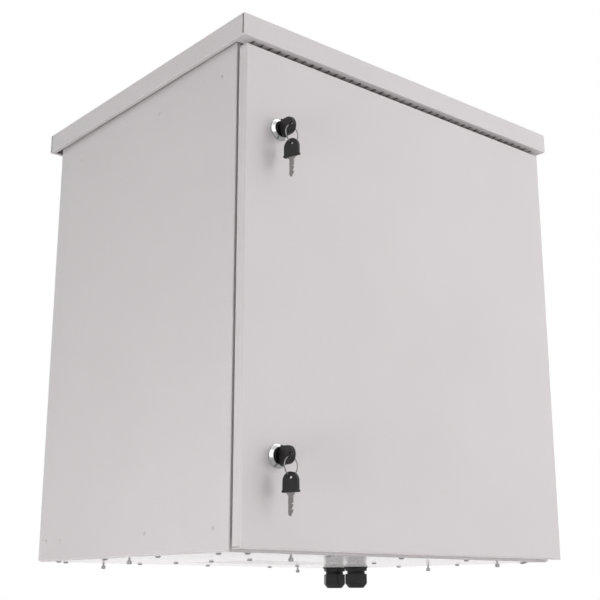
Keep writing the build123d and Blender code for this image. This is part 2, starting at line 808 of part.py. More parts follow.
def lock_housing(level):
    """Threaded barrel with a turned bezel that tapers towards its rim."""
    end = cam_front() + seam
    bore_r = plug_r + plug_clearance
    face_r = plug_face_r + plug_clearance
    half = Polyline(
        (bore_r, end), (lock_thread_r, end), (lock_thread_r, 0), (bezel_r, 0), (bezel_r, 1.4),
        (bezel_front_r, bezel_height), (face_r, bezel_height), (face_r, -plug_recess),
        (bore_r, -plug_recess), (bore_r, end),
    )
    barrel = revolve(Plane.XZ * make_face(half), Axis.Z)
    return on_door(level) * barrel


def lock_plug(level):
    """Turning core: wide face in the bezel, barrel with the keyway, square tail for the cam."""
    back = cam_front()
    core = rod((0, 0, -plug_recess + 0.2), plug_face_r, "z", plug_face + plug_recess - 0.2)
    core += rod((0, 0, back), plug_r, "z", plug_face - back)
    core += Pos(0, 0, back - cam_thickness / 2 - 1) * Box(cam_square, cam_square, cam_thickness + 2)
    slot = (blade_thickness / 2 + key_clearance, blade_width / 2 + key_clearance)
    depth = blade_length + 1
    core -= block((-slot[0], slot[0]), (-slot[1], slot[1]), (plug_face - depth, plug_face + 1))
    return on_door(level) * core


def lock_cam(level):
    """Flat cam, hanging down when the lock is open."""
    half = cam_width / 2
    shape = Circle(half + 1) + Pos(0, -cam_reach / 2) * Rectangle(cam_width - 2, cam_reach)
    shape = fillet(shape.vertices().group_by(Axis.Y)[0], 4)
    shape -= Rectangle(cam_square + 0.1, cam_square + 0.1)
    top = cam_front()
    return on_door(level) * Pos(0, 0, top - cam_thickness) * extrude(shape, cam_thickness)


def lock_nuts():
    found = []
    for level in lock_levels():
        nut = hexagon(lock_nut_across, lock_nut_height) - rod(
            (0, 0, -1), lock_thread_r + 0.05, "z", lock_nut_height + 2)
        found.append(on_door(level) * Pos(0, 0, -sheet - lock_nut_height) * nut)
    return found


def key_head():
    """Moulded grip: an arch on a low bar with rounded ears, drawn from its base along +Y."""
    half = key_width / 2
    arch = Pos(0, (key_length - half) / 2) * Rectangle(key_width, key_length - half)
    arch += Pos(0, key_length - half) * Circle(half)
    ears = Pos(0, key_ear_height / 2) * SlotOverall(key_ears, key_ear_height)
    hole = make_face(Polyline(
        (0, key_length - key_hole_top), (-key_hole_half, key_length - key_hole_base),
        (key_hole_half, key_length - key_hole_base), (0, key_length - key_hole_top)))
    hole = fillet(hole.vertices(), key_hole_corner)
    grip = Pos(0, 0, -key_thickness / 2) * extrude(arch + ears, key_thickness)
    grip = chamfer(grip.faces().filter_by(Axis.Z).edges(), key_edge)
    grip -= Pos(0, 0, -key_thickness) * extrude(hole, 2 * key_thickness)
    socket = block((-blade_width / 2, blade_width / 2), (-1, blade_tang),
                   (-blade_thickness / 2, blade_thickness / 2))
    return grip - socket


def key_blade():
    """Flat blade: tapered collar, one cut edge and a pointed end, with a tang for the grip."""
    half = blade_width / 2
    root = half - blade_tooth
    tip = -blade_collar - blade_length
    outline = Polyline(
        (-half, blade_tang), (-half, 0), (-blade_collar_width / 2, 0), (-half, -blade_collar),
        (-half, tip + blade_width / 2), (-0.12 * blade_width, tip), (half, tip + blade_width),
        (root, tip + 1.15 * blade_width), (half, tip + 1.95 * blade_width),
        (root, tip + 2.1 * blade_width), (half, tip + 2.25 * blade_width), (half, -blade_collar),
        (blade_collar_width / 2, -blade_collar), (blade_collar_width / 2, 0), (half, 0),
        (half, blade_tang), (-half, blade_tang),
    )
    return Pos(0, 0, -blade_thickness / 2) * extrude(make_face(outline), blade_thickness)


def key_stand():
    """Distance of an inserted key's grip from the door's face."""
    return plug_face + seam + blade_collar


def hole_slant():
    """Angle between a side of the three-cornered hole and the key's length."""
    return math.atan2(key_hole_half, key_hole_base - key_hole_top)


def ring_seat(level):
    """Centre of the ring's wire in the inserted key's hole: down in the corner nearer the door."""
    reach = ring_wire_r + ring_slack[level]
    slant = hole_slant()
    drop = key_hole_half - reach * (1 + math.sin(slant)) / math.cos(slant)
    turn = math.radians(lock_turn[level])
    out = key_stand() + key_length - key_hole_base + reach
    return (lock_x + drop * math.sin(turn), door_front_y - out,
            lock_levels()[level] - drop * math.cos(turn))


def inserted(level):
    turn = math.radians(lock_turn[level])
    place = Plane(origin=(lock_x, door_front_y - key_stand(), lock_levels()[level]),
                  x_dir=(math.sin(turn), 0, -math.cos(turn)),
                  z_dir=(-math.cos(turn), 0, -math.sin(turn)))
    return place.location


def spare(level):
    """Frame of the spare key, which hangs on the ring by the top corner of its hole."""
    x, y, z = ring_seat(level)
    turn = math.radians(spare_key_turn)
    hang = key_length - key_hole_top - (ring_wire_r + spare_slack) / math.sin(hole_slant())
    place = Plane(origin=(x, y, z - 2 * ring_r - hang),
                  x_dir=(math.cos(turn), -math.sin(turn), 0),
                  z_dir=(-math.sin(turn), -math.cos(turn), 0))
    return place.location


def key_ring(level):
    x, y, z = ring_seat(level)
    return Pos(x, y, z - ring_r) * Rot(0, 0, ring_turn) * Rot(90, 0, 0) * Torus(ring_r, ring_wire_r)


# Every node, by the name of its file
nodes = {
    "left_side_panel": side_panel(-1),
    "right_side_panel": side_panel(1),
    "rear_panel": rear_panel(),
    "top_panel": top_panel(),
    "bottom_panel": bottom_panel(),
    "front_frame": front_frame(),
    "roof_hood": roof_hood(),
    "hood_fixings": hood_fixings(),
    "upper_mounting_rail": wall_rail(wall_hole_z / 2),
    "lower_mounting_rail": wall_rail(-wall_hole_z / 2),
    "mounting_rail_rivets": mounting_rail_rivets(),
    "channel_rivets": channel_rivets(),
    "rail_fasteners": rail_fasteners(),
    "bottom_panel_screws": bottom_panel_screws(),
    "captive_screws": captive_screws(),
    "filter_tray": filter_tray(),
    "filter_mat": filter_mat(),
    "gland_locknuts": gland_locknuts(),
    "earth_stud": earth_stud(),
    "door_panel": door_panel(),
    "door_stiffener": door_stiffener(),
    "door_gasket": door_gasket(),
    "hinge_screws": hinge_screws(),
    "lock_nuts": lock_nuts(),
}
for side_name, side in (("left", -1), ("right", 1)):
    nodes[f"lower_{side_name}_channel"] = depth_channel(side, channel_low_z)
    nodes[f"upper_{side_name}_channel"] = depth_channel(side, channel_high_z)
    for row_name, y in rack_ys.items():
        nodes[f"{row_name}_{side_name}_rack_rail"] = rack_rail(side, y)
for gland_name, (x, y) in gland_places().items():
    nodes[f"{gland_name}_gland_body"] = gland_body(x, y)
    nodes[f"{gland_name}_gland_nut"] = gland_dome_nut(x, y)
    nodes[f"{gland_name}_gland_seal"] = gland_seal(x, y)
for level_name, z in hinge_levels().items():
    nodes[f"{level_name}_hinge_body_leaf"] = hinge_body_leaf(z)
    nodes[f"{level_name}_hinge_door_leaf"] = hinge_door_leaf(z)
    nodes[f"{level_name}_hinge_pin"] = hinge_pin(z)
for level_name in lock_levels():
    nodes[f"{level_name}_lock_housing"] = lock_housing(level_name)
    nodes[f"{level_name}_lock_plug"] = lock_plug(level_name)
    nodes[f"{level_name}_lock_cam"] = lock_cam(level_name)
    nodes[f"{level_name}_key_head"] = inserted(level_name) * key_head()
    nodes[f"{level_name}_key_blade"] = inserted(level_name) * key_blade()
    nodes[f"{level_name}_key_ring"] = key_ring(level_name)
    nodes[f"{level_name}_spare_key_head"] = spare(level_name) * key_head()
    nodes[f"{level_name}_spare_key_blade"] = spare(level_name) * key_blade()

os.makedirs("parts", exist_ok=True)
for name, shape in nodes.items():
    solid = Compound(children=shape) if isinstance(shape, list) else shape
    export_step(solid, f"parts/{name}.step")
print(len(nodes), "nodes written")
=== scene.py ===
import bmesh
import bpy
import json
import math
from mathutils import Matrix, Vector

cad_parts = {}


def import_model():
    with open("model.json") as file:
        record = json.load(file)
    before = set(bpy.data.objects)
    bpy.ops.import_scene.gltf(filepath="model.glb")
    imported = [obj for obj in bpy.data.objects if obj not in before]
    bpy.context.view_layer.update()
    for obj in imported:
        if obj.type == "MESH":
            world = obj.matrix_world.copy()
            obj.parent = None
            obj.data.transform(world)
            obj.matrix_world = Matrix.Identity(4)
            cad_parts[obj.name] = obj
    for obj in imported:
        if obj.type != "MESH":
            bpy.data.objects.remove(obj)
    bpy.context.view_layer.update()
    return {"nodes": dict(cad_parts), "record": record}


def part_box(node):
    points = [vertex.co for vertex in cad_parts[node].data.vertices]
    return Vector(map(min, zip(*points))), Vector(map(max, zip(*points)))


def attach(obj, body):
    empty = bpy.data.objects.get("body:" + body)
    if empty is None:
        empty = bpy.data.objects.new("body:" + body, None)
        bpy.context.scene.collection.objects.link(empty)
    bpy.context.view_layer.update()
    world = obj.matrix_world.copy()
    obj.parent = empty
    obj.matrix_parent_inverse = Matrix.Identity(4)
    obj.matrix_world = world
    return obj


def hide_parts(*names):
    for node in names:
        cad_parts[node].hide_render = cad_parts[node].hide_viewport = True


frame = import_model()
nodes = frame["nodes"]

# The scene is in metres, and the detailed pieces are drawn in millimetres
MM = 0.001

# Camera of the photograph: a 600 by 600 frame
CAMERA_PLACE = (-1.08971, -1.56632, -0.38656)
CAMERA_YAW = -40.06
CAMERA_PITCH = 15.12
CAMERA_LENS = 66.31
CAMERA_SENSOR = 36.0
CAMERA_REACH = 50

# Colours, linear
ENAMEL = (0.620, 0.586, 0.594)
ZINC = (0.52, 0.525, 0.53)
CHROME = (0.78, 0.79, 0.79)
STEEL = (0.36, 0.345, 0.345)
BLACK_GLOSS = (0.006, 0.006, 0.006)
KEY_BLACK = (0.013, 0.012, 0.0125)
NYLON = (0.007, 0.007, 0.007)
RUBBER = (0.018, 0.018, 0.018)
FOAM = (0.035, 0.035, 0.036)
FIBRE = (0.42, 0.42, 0.39)
FLOOR = (0.72, 0.72, 0.72)
WHITE = (1, 1, 1, 1)

# Ranges in which most values of a texture lie
NOISE_RANGE = (0.3, 0.7)
CELL_RANGE = (0.0, 0.6)
OCCLUSION_RANGE = (0.2, 0.8)

# Stage: the camera sees the floor fade to SEEN_FLOOR over the distances of FLOOR_FADE, and reflections
# see the mirrored levels
FLOOR_HEIGHT = -1.1
FLOOR_SIZE = 14.0
FLOOR_FADE = (1.3, 2.3)
SEEN_FLOOR = 0.93
SKY_LIGHT = 0.24
MIRRORED_SKY = 0.74
MIRRORED_FLOOR = 0.40

# Panels that only reflections see: azimuth, elevation, inner and outer half angle, added level
PANELS = (
    (45, 0, 25, 60, 0.30),
    (245, 15, 8, 34, 0.90),
    (16, 53, 12, 42, 0.60),
    (135, 0, 5, 10, 0.70),
)

# Area lamps: name, position, target, size, watts, and whether reflections see the lamp
LAMPS = (
    ("overhead", (0, -0.3, 1.9), (0, -0.3, 0.35), (1.5, 1.5), 12, True),
    ("key", (1.9, -3.2, 0.7), (0.1, -0.5, 0), (3.6, 3.6), 108, False),
    ("left_fill", (-2.2, -0.7, -0.95), (-0.3, -0.3, -0.25), (1.0, 1.0), 44, False),
    ("back_fill", (1.6, 2.6, 0.6), (0, 0, 0), (1.6, 1.6), 34, False),
    ("under", (0.1, -0.1, -1.0), (0.05, -0.2, -0.33), (0.7, 0.5), 5, False),
)


# Materials

def tint(colour, factor):
    """A lighter or darker colour, with an alpha of 1."""
    return (*(min(1.0, channel * factor) for channel in colour), 1)


class Tree:
    """A node tree, with short calls for the nodes that this scene uses."""

    def __init__(self, tree, output, glow):
        self.tree = tree
        self.surface = tree.nodes[output].inputs["Surface"]
        self.glow = glow

    def node(self, kind, **settings):
        made = self.tree.nodes.new(kind)
        for name, value in settings.items():
            setattr(made, name, value)
        return made

    def feed(self, value, socket):
        """Gives a socket a link or a number."""
        if isinstance(value, bpy.types.NodeSocket):
            self.tree.links.new(value, socket)
        else:
            socket.default_value = value

    def maths(self, operation, first, second):
        made = self.node("ShaderNodeMath", operation=operation)
        self.feed(first, made.inputs[0])
        self.feed(second, made.inputs[1])
        return made.outputs[0]

    def span(self, value, low, high, within=NOISE_RANGE, ease="LINEAR"):
        """Spreads a value that lies within one range over another."""
        made = self.node("ShaderNodeMapRange", interpolation_type=ease)
        self.feed(value, made.inputs["Value"])
        self.feed(within[0], made.inputs["From Min"])
        self.feed(within[1], made.inputs["From Max"])
        self.feed(low, made.inputs["To Min"])
        self.feed(high, made.inputs["To Max"])
        return made.outputs["Result"]

    def show_white(self, rays, level, share=1.0):
        """Rays of the named kinds see a share of even white, and all others what they saw before."""
        path = self.node("ShaderNodeLightPath")
        seen = path.outputs[rays[0]]
        for ray in rays[1:]:
            seen = self.maths("MAXIMUM", seen, path.outputs[ray])
        white = self.node(self.glow)
        self.feed(WHITE, white.inputs["Color"])
        self.feed(level, white.inputs["Strength"])
        mix = self.node("ShaderNodeMixShader")
        self.feed(self.maths("MULTIPLY", seen, share), mix.inputs[0])
        self.feed(self.surface.links[0].from_socket, mix.inputs[1])
        self.feed(white.outputs[0], mix.inputs[2])
        self.feed(mix.outputs[0], self.surface)


class Shader(Tree):
    """A new material round the principled shader."""

    def __init__(self, name):
        self.material = bpy.data.materials.new(name)
        self.material.use_nodes = True
        super().__init__(self.material.node_tree, "Material Output", "ShaderNodeEmission")
        self.main = self.tree.nodes["Principled BSDF"].inputs
        self.where = self.node("ShaderNodeTexCoord").outputs["Object"]

    def set(self, **sockets):
        for name, value in sockets.items():
            self.feed(value, self.main[name.replace("_", " ")])

    def stretched(self, scale):
        """The object's own coordinates, scaled apart along X, Y and Z."""
        made = self.node("ShaderNodeMapping")
        self.feed(self.where, made.inputs["Vector"])
        self.feed(scale, made.inputs["Scale"])
        return made.outputs["Vector"]

    def noise(self, scale, detail=3.0, where=None):
        made = self.node("ShaderNodeTexNoise")
        self.feed(where or self.where, made.inputs["Vector"])
        self.feed(scale, made.inputs["Scale"])
        self.feed(detail, made.inputs["Detail"])
        return made.outputs["Fac"]

    def cells(self, scale, feature="F1"):
        made = self.node("ShaderNodeTexVoronoi", feature=feature)
        self.feed(self.where, made.inputs["Vector"])
        self.feed(scale, made.inputs["Scale"])
        return made.outputs["Distance"]

    def mottle(self, texture, colour, low, high, within=NOISE_RANGE):
        """The base colour: between two tints of one colour, chosen by a texture."""
        made = self.node("ShaderNodeMix", data_type="RGBA")
        self.feed(self.span(texture, 0, 1, within), made.inputs["Factor"])
        self.feed(tint(colour, low), made.inputs["A"])
        self.feed(tint(colour, high), made.inputs["B"])
        self.set(Base_Color=made.outputs["Result"])

    def paint_crevice_shade(self, reach, dark, own=True):
        """Painted shade: darkens the base colour by ambient occlusion in narrow slots and corners, of the
        piece alone or also against others.
        """
        inside = self.node("ShaderNodeAmbientOcclusion", samples=4, only_local=own)
        self.feed(reach, inside.inputs["Distance"])
        shade = self.node("ShaderNodeCombineColor")
        level = self.span(inside.outputs["AO"], dark, 1.0, OCCLUSION_RANGE)
        for channel in ("Red", "Green", "Blue"):
            self.feed(level, shade.inputs[channel])
        # painted shade: the base colour is multiplied by the occlusion level
        made = self.node("ShaderNodeMix", data_type="RGBA", blend_type="MULTIPLY")
        self.feed(1.0, made.inputs["Factor"])
        self.feed(self.main["Base Color"].links[0].from_socket, made.inputs["A"])
        self.feed(shade.outputs["Color"], made.inputs["B"])
        self.set(Base_Color=made.outputs["Result"])

    def relief(self, texture, depth, strength, edges=None):
        """Bump of a depth, on a surface whose sharp edges may look rounded by a small radius."""
        made = self.node("ShaderNodeBump")
        self.feed(texture, made.inputs["Height"])
        self.feed(depth, made.inputs["Distance"])
        self.feed(strength, made.inputs["Strength"])
        if edges:
            soft = self.node("ShaderNodeBevel", samples=4)
            self.feed(edges, soft.inputs["Radius"])
            self.feed(soft.outputs["Normal"], made.inputs["Normal"])
        self.set(Normal=made.outputs["Normal"])


def enamel():
    """Satin powder coat with a fine orange peel, and painted shade that darkens its slots and corners."""
    s = Shader("grey_enamel")
    s.set(Specular_IOR_Level=0.5, Coat_Weight=0.5, Coat_Roughness=0.08)
    s.set(Roughness=s.span(s.noise(scale=900.0), low=0.24, high=0.30))
    s.mottle(s.noise(scale=6.0, detail=2.0), ENAMEL, low=0.985, high=1.015)
    # painted shade: the base colour is darkened in slots and corners within 4 mm
    s.paint_crevice_shade(reach=0.004, dark=0.30)
    s.relief(s.noise(scale=650.0, detail=2.0), depth=0.00003, strength=0.3, edges=0.0006)
    return s.material


def zinc():
    """Zinc plate: cool bright metal with a faint spangle and fine rolling lines."""
    s = Shader("zinc_steel")
    s.set(Metallic=1.0, Roughness=s.span(s.noise(scale=140.0), low=0.30, high=0.46))
    s.mottle(s.cells(scale=260.0), ZINC, low=0.90, high=1.04, within=CELL_RANGE)
    lines = s.noise(scale=400.0, where=s.stretched((1, 1, 0.04)))
    s.relief(lines, depth=0.00003, strength=0.5, edges=0.0003)
    return s.material


def chrome():
    """Polished chrome with faint turning marks, and painted shade where it lies close to other pieces."""
    s = Shader("lock_chrome")
    s.set(Metallic=1.0, Roughness=s.span(s.noise(scale=900.0), low=0.16, high=0.24))
    s.mottle(s.noise(scale=300.0), CHROME, low=0.95, high=1.0)
    # painted shade: the base colour is darkened within 2.5 mm of this and other pieces
    s.paint_crevice_shade(reach=0.0025, dark=0.35, own=False)
    s.relief(s.noise(scale=2500.0, detail=1.0), depth=0.00001, strength=0.3, edges=0.0004)
    return s.material


def key_steel():
    """Nickel-plated steel with brushed lines along the blade."""
    s = Shader("key_steel")
    s.set(Metallic=1.0, Roughness=s.span(s.noise(scale=1200.0), low=0.24, high=0.38))
    s.mottle(s.noise(scale=700.0), STEEL, low=0.86, high=1.10)
    lines = s.noise(scale=1500.0, detail=2.0, where=s.stretched((1, 0.08, 0.08)))
    s.relief(lines, depth=0.00002, strength=0.5, edges=0.0002)
    return s.material


def moulded(name, colour, roughness, grain, depth, edges=0.0004):
    """Black moulded plastic or rubber with a fine grain."""
    s = Shader(name)
    s.set(Specular_IOR_Level=0.4)
    s.set(Roughness=s.span(s.noise(grain), roughness - 0.06, roughness + 0.08))
    s.mottle(s.noise(grain * 0.2), colour, low=1.0, high=1.5)
    s.relief(s.noise(grain, detail=2.0), depth, strength=0.6, edges=edges)
    return s.material


def foam():
    """Closed-cell gasket foam: a skin of small blisters."""
    s = Shader("gasket_foam")
    blisters = s.cells(scale=900.0, feature="SMOOTH_F1")
    s.set(Roughness=0.85)
    s.mottle(blisters, FOAM, low=1.5, high=1.0, within=CELL_RANGE)
    s.relief(blisters, depth=0.0002, strength=0.7)
    return s.material


def fibre():
    """Pressed fibre mat."""
    s = Shader("filter_fibre")
    strands = s.noise(scale=1400.0, detail=6.0, where=s.stretched((1, 0.35, 1)))
    s.set(Roughness=0.95, Sheen_Weight=0.3)
    s.mottle(strands, FIBRE, low=0.72, high=1.0)
    s.relief(strands, depth=0.0006, strength=0.9)
    return s.material


def dress_frame():
    """Makes the materials by slot, and gives every node of the frame the one of its slot."""
    made = {
        "grey_enamel": enamel(),
        "zinc_steel": zinc(),
        "lock_chrome": chrome(),
        "lock_black": moulded("lock_black", BLACK_GLOSS, roughness=0.22, grain=900.0, depth=0.00001),
        "key_plastic": moulded("key_plastic", KEY_BLACK, roughness=0.40, grain=1400.0, depth=0.00004),
        "key_steel": key_steel(),
        "gland_plastic": moulded("gland_plastic", NYLON, roughness=0.34, grain=1100.0, depth=0.00004,
                                 edges=0.0008),
        "seal_rubber": moulded("seal_rubber", RUBBER, roughness=0.62, grain=900.0, depth=0.00006),
        "gasket_foam": foam(),
        "filter_fibre": fibre(),
    }
    for part in frame["record"]["subparts"]:
        for slot in nodes[part["node"]].material_slots:
            slot.material = made[part["material_slot"]]
    return made


# Stage, light and camera

def mirrored_studio(tree):
    """Level of the surroundings in a reflection: an even sky and the soft-edged panels."""
    way = tree.node("ShaderNodeTexCoord").outputs["Generated"]
    level = MIRRORED_SKY
    for azimuth, elevation, inner, outer, added in PANELS:
        turn, rise = math.radians(azimuth), math.radians(elevation)
        middle = (math.cos(turn) * math.cos(rise), math.sin(turn) * math.cos(rise), math.sin(rise))
        near = tree.node("ShaderNodeVectorMath", operation="DOT_PRODUCT")
        tree.feed(way, near.inputs[0])
        tree.feed(middle, near.inputs[1])
        edge = (math.cos(math.radians(outer)), math.cos(math.radians(inner)))
        panel = tree.span(near.outputs["Value"], 0, added, edge, "SMOOTHSTEP")
        level = tree.maths("ADD", panel, level)
    return level


def world():
    """Even light from all sides, with a studio of its own in reflections and a white background."""
    made = bpy.data.worlds.new("studio")
    made.use_nodes = True
    sky = made.node_tree.nodes["Background"].inputs
    sky["Color"].default_value = WHITE
    sky["Strength"].default_value = SKY_LIGHT
    tree = Tree(made.node_tree, "World Output", "ShaderNodeBackground")
    tree.show_white(("Is Glossy Ray",), mirrored_studio(tree))
    tree.show_white(("Is Camera Ray", "Is Transmission Ray"), 1.0)
    bpy.context.scene.world = made


def floor():
    """Pale floor that takes the object's shadow and fades to an even white further out."""
    mesh = bpy.data.meshes.new("floor")
    half = FLOOR_SIZE / 2
    corners = [(-half, -half, 0), (half, -half, 0), (half, half, 0), (-half, half, 0)]
    mesh.from_pydata(corners, [], [(0, 1, 2, 3)])
    made = bpy.data.objects.new("floor", mesh)
    made.location.z = FLOOR_HEIGHT
    bpy.context.scene.collection.objects.link(made)
    s = Shader("floor_paint")
    s.set(Roughness=0.7)
    s.mottle(s.noise(scale=3.0), FLOOR, low=0.99, high=1.01)
    s.show_white(("Is Glossy Ray", "Is Transmission Ray"), MIRRORED_FLOOR)
    away = s.node("ShaderNodeVectorMath", operation="LENGTH")
    s.feed(s.where, away.inputs[0])
    s.show_white(("Is Camera Ray",), SEEN_FLOOR, s.span(away.outputs["Value"], 0, 1, FLOOR_FADE))
    mesh.materials.append(s.material)


def softbox(name, position, target, size, power, mirrored):
    lamp = bpy.data.lights.new(name, "AREA")
    lamp.shape = "RECTANGLE"
    lamp.size, lamp.size_y = size
    lamp.energy = power
    made = bpy.data.objects.new(name, lamp)
    made.location = position
    made.rotation_euler = (Vector(target) - Vector(position)).to_track_quat("-Z", "Y").to_euler()
    made.visible_glossy = mirrored
    bpy.context.scene.collection.objects.link(made)


def camera():
    data = bpy.data.cameras.new("camera")
    data.lens = CAMERA_LENS
    data.sensor_width = CAMERA_SENSOR
    data.sensor_fit = "HORIZONTAL"
    data.clip_end = CAMERA_REACH
    made = bpy.data.objects.new("camera", data)
    made.location = CAMERA_PLACE
    made.rotation_euler = (math.radians(90 + CAMERA_PITCH), 0, math.radians(CAMERA_YAW))
    bpy.context.scene.collection.objects.link(made)
    bpy.context.scene.camera = made


# Places in the frame

# Corners of a mesh that round to the same step are one corner
STEPS_PER_METRE = 20000


def centre(node):
    low, high = (Vector(corner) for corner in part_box(node))
    return (low + high) / 2


def centres(node):
    """Centre of each separate solid in a node."""
    mesh = nodes[node].data
    keys = [tuple(round(v * STEPS_PER_METRE) for v in vertex.co) for vertex in mesh.vertices]
    parent = {key: key for key in keys}

    def root(key):
        while parent[key] != key:
            parent[key] = parent[parent[key]]
            key = parent[key]
        return key

    for edge in mesh.edges:
        a, b = (root(keys[i]) for i in edge.vertices)
        parent[a] = b
    groups = {}
    for key, vertex in zip(keys, mesh.vertices):
        groups.setdefault(root(key), []).append(vertex.co)
    found = []
    for points in groups.values():
        low = Vector([min(p[i] for p in points) for i in range(3)])
        high = Vector([max(p[i] for p in points) for i in range(3)])
        found.append((low + high) / 2)
    return found


def place(origin, x_axis, z_axis):
    """Matrix that puts a piece, drawn in millimetres, at an origin with two of its axes."""
    x_axis, z_axis = Vector(x_axis).normalized(), Vector(z_axis).normalized()
    turn = Matrix((x_axis, z_axis.cross(x_axis), z_axis)).transposed().to_4x4()
    return Matrix.Translation(origin) @ turn @ Matrix.Scale(MM, 4)


# Making pieces

AS_DRAWN = Matrix.Identity(4)
CUT_EDGE_ANGLE = 35
BEVELLED_ANGLE = 40


def bare(name, drawn):
    """Makes an object of drawn = [(matrix, points, faces), ...], to dress or to cut with."""
    points, faces = [], []
    for matrix, some_points, some_faces in drawn:
        start = len(points)
        points += [matrix @ Vector(p) for p in some_points]
        faces += [[start + i for i in face] for face in some_faces]
    mesh = bpy.data.meshes.new(name)
    mesh.from_pydata(points, [], faces)
    work = bmesh.new()
    work.from_mesh(mesh)
    bmesh.ops.recalc_face_normals(work, faces=work.faces)
    work.to_mesh(mesh)
    work.free()
    made = bpy.data.objects.new(name, mesh)
    bpy.context.scene.collection.objects.link(made)
    return made


def piece(name, drawn, slot, body, stands_for, angle):
    """Makes a visible piece that rides on a body and replaces a node; edges past the angle are sharp."""
    made = bare(name, drawn)
    made.data.shade_smooth()
    made.data.set_sharp_from_angle(angle=math.radians(angle))
    made.data.materials.append(materials[slot])
    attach(made, body)
    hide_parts(stands_for)
    return made


def soften(made, width, segments):
    """Rounds a piece's sharp edges by a bevel, in millimetres."""
    bevel = made.modifiers.new("edges", "BEVEL")
    bevel.width = width * MM
    bevel.segments = segments
    bevel.limit_method = "ANGLE"
    bevel.angle_limit = math.radians(BEVELLED_ANGLE)
    bevel.harden_normals = True


def carve(made, cutter):
    """Cuts one piece out of another and removes the cutter."""
    cut = made.modifiers.new("cut", "BOOLEAN")
    cut.operation = "DIFFERENCE"
    cut.solver = "EXACT"
    cut.object = cutter
    bpy.context.view_layer.update()
    graph = bpy.context.evaluated_depsgraph_get()
    mesh = bpy.data.meshes.new_from_object(made.evaluated_get(graph))
    made.modifiers.clear()
    made.data = mesh
    bpy.data.objects.remove(cutter)
    mesh.set_sharp_from_angle(angle=math.radians(CUT_EDGE_ANGLE))


def lathe(profile, count, radius=None):
    """Turns (radius, height) points into a ring of faces; a first or last radius of 0 closes an end.

    radius(angle, r, h) may change the circle into another outline.
    """
    radius = radius or (lambda angle, r, h: r)
    points, faces = [], []
    rings = []
    for r, h in profile:
        if r == 0:
            rings.append([len(points)] * count)
            points.append((0, 0, h))
            continue
        rings.append(list(range(len(points), len(points) + count)))
        for i in range(count):
            angle = 2 * math.pi * i / count
            reach = radius(angle, r, h)
            points.append((reach * math.cos(angle), reach * math.sin(angle), h))
    for low, high in zip(rings, rings[1:]):
        for i in range(count):
            j = (i + 1) % count
            face = [low[i], low[j], high[j], high[i]]
            face = [v for k, v in enumerate(face) if v != face[k - 1]]
            if len(face) > 2:
                faces.append(face)
    return points, faces


def hollow(profile):
    """A turned profile that ends where it starts."""
    return profile + [profile[0]]


def rounded(corners, size, steps=3):
    """A polyline whose inner corners are rounded by up to size."""
    made = [corners[0]]
    for before, corner, after in zip(corners, corners[1:], corners[2:]):
        a, b, c = Vector(before), Vector(corner), Vector(after)
        cut = min(size, (a - b).length * 0.45, (c - b).length * 0.45)
        start, end = b + (a - b).normalized() * cut, b + (c - b).normalized() * cut
        for k in range(steps + 1):
            t = k / steps
            made.append(tuple(start * (1 - t) ** 2 + b * 2 * t * (1 - t) + end * t ** 2))
    return made + [corners[-1]]


def thread(radius, low, high, pitch, depth):
    """Profile of ridges between two heights."""
    count = max(1, int(abs(high - low) / pitch))
    step = (high - low) / count
    made = []
    for i in range(count):
        made += [(radius, low + step * i), (radius - depth, low + step * (i + 0.5))]
    return made + [(radius, high)]


def arc(x, y, r, start, end, steps):
    angles = [math.radians(start + (end - start) * i / steps) for i in range(steps + 1)]
    return [(x + r * math.cos(a), y + r * math.sin(a)) for a in angles]


def slab(outline, hole, thickness):
    """A flat plate about z = 0, with or without a hole."""
    work = bmesh.new()
    edges = []
    for loop in (outline, hole):
        made = [work.verts.new((x, y, -thickness / 2)) for x, y in loop]
        edges += [work.edges.new((a, b)) for a, b in zip(made, made[1:] + made[:1])]
    bmesh.ops.triangle_fill(work, use_beauty=True, use_dissolve=False, edges=edges)
    grown = bmesh.ops.extrude_face_region(work, geom=list(work.faces))
    bmesh.ops.translate(work, vec=(0, 0, thickness),
                        verts=[v for v in grown["geom"] if isinstance(v, bmesh.types.BMVert)])
    work.verts.index_update()
    points = [tuple(v.co) for v in work.verts]
    faces = [[v.index for v in face.verts] for face in work.faces]
    work.free()
    return points, faces


def block(xs, ys, zs):
    points = [(x, y, z) for x in xs for y in ys for z in zs]
    faces = [(0, 1, 3, 2), (4, 6, 7, 5), (0, 4, 5, 1), (2, 3, 7, 6), (0, 2, 6, 4), (1, 5, 7, 3)]
    return points, faces


# Locks: drawn along z, with the door's face at z = 0 and the keyway along y

LOCK_TURN = {"upper": math.radians(10), "lower": 0.0}
LOCK_FACETS = 96
PLUG_BORE = 7.65
HEAD_BORE = 10.35
HEAD_BORE_FLOOR = -0.5
HOUSING_NECK = 10.6
HOUSING_THREAD = 11.0
BEZEL_RADIUS = 15.2
BEZEL_HEIGHT = 4.2
PLUG_RADIUS = 7.5
PLUG_HEAD = 10.2
PLUG_HEAD_FLOOR = -0.3
PLUG_HEAD_TOP = 3.7
TAIL_RADIUS = 4.6
TAIL_LENGTH = 5.2
# What the keyway takes out of the plug: spans along x, y and z
KEYWAY = ((-1.1, 1.1), (-3.7, 3.7), (-22.8, 6))


def node_depth(node):
    """Size of a node along Y, in millimetres."""
    low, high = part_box(node)
    return (high[1] - low[1]) / MM


